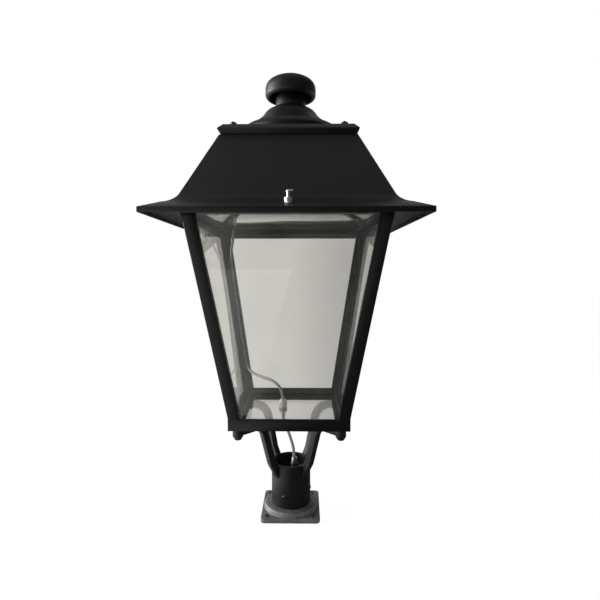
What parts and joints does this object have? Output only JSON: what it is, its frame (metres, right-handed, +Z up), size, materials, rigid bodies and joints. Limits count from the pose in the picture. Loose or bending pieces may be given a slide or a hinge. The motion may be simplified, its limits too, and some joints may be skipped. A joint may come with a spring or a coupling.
{
  "type": "post top lantern",
  "caption": "Square tapered glazed lantern with a hinged hipped roof, chimney cap, curved support arms and a flanged socket for a post top.",
  "frame": {"origin": "centre of the base flange's lower face, where the lantern stands on its post", "axes": "+Z up along the post, +Y from the latch side to the hinge side, +X to the right of someone who faces the latch side"},
  "size_m": [0.449, 0.449, 0.8745],
  "materials": {
    "black_aluminium": "satin black powder coat on cast or extruded aluminium",
    "galvanised_steel": "dull hot-dip galvanised and weathered",
    "bright_steel": "bright zinc-plated",
    "pane_glass": "clear float glass",
    "grey_rubber": "matt",
    "cable_grey": "smooth grey sheath",
    "white_plastic": "white moulded",
    "lens_plastic": "clear moulded lens",
    "reflector_white": "matt white paint on sheet",
    "board_white": "white solder resist on a metal-core board",
    "bare_aluminium": "extruded, plain anodised"
  },
  "bodies": {
    "root": {"arm_bolts": "bright_steel", "bottom_rail_back": "black_aluminium", "bottom_rail_front": "black_aluminium", "bottom_rail_left": "black_aluminium", "bottom_rail_right": "black_aluminium", "cable_clips": "white_plastic", "cable_grommet": "grey_rubber", "ceiling_glass": "pane_glass", "corner_post_back_left": "black_aluminium", "corner_post_back_right": "black_aluminium", "corner_post_front_left": "black_aluminium", "corner_post_front_right": "black_aluminium", "cover_gasket": "grey_rubber", "driver": "white_plastic", "gear_tray": "black_aluminium", "gland_nut": "white_plastic", "glazing_bead_back": "black_aluminium", "glazing_bead_front": "black_aluminium", "glazing_bead_left": "black_aluminium", "glazing_bead_right": "black_aluminium", "grub_screws": "bright_steel", "heat_sink": "bare_aluminium", "hinge_bracket": "black_aluminium", "hinge_pins": "bright_steel", "hub_collar": "black_aluminium", "hub_gland": "bright_steel", "latch_keeper": "black_aluminium", "led_board": "board_white", "led_lenses": "lens_plastic", "pane_back": "pane_glass", "pane_bottom": "pane_glass", "pane_front": "pane_glass", "pane_gland": "white_plastic", "pane_left": "pane_glass", "pane_right": "pane_glass", "post_flange": "galvanised_steel", "reflector": "reflector_white", "roof_seal": "grey_rubber", "supply_cable": "cable_grey", "support_arm_back_left": "black_aluminium", "support_arm_back_right": "black_aluminium", "support_arm_front_left": "black_aluminium", "support_arm_front_right": "black_aluminium", "terminal_block": "white_plastic", "top_rail_back": "black_aluminium", "top_rail_front": "black_aluminium", "top_rail_left": "black_aluminium", "top_rail_right": "black_aluminium", "tray_screws": "bright_steel"},
    "roof": {"roof_shell": "black_aluminium", "roof_frame": "black_aluminium", "crown_plate": "black_aluminium", "crown_bolts": "bright_steel", "chimney_bell": "black_aluminium", "cap_stud": "bright_steel", "finial_cap": "black_aluminium", "hinge_leaf": "black_aluminium", "latch_housing": "black_aluminium"},
    "latch": {"latch_handle": "bright_steel", "latch_cam": "bright_steel"}
  },
  "joints": [
    {"name": "roof_hinge", "type": "hinge", "parent": "root", "child": "roof", "pos_m": [0, 0.185, 0.5863], "axis": [-1, 0, 0], "range_deg": [0, 95]},
    {"name": "latch_turn", "type": "hinge", "parent": "roof", "child": "latch", "pos_m": [0.003, -0.199, 0.6], "axis": [0, 0, 1], "range_deg": [0, 90]}
  ]
}
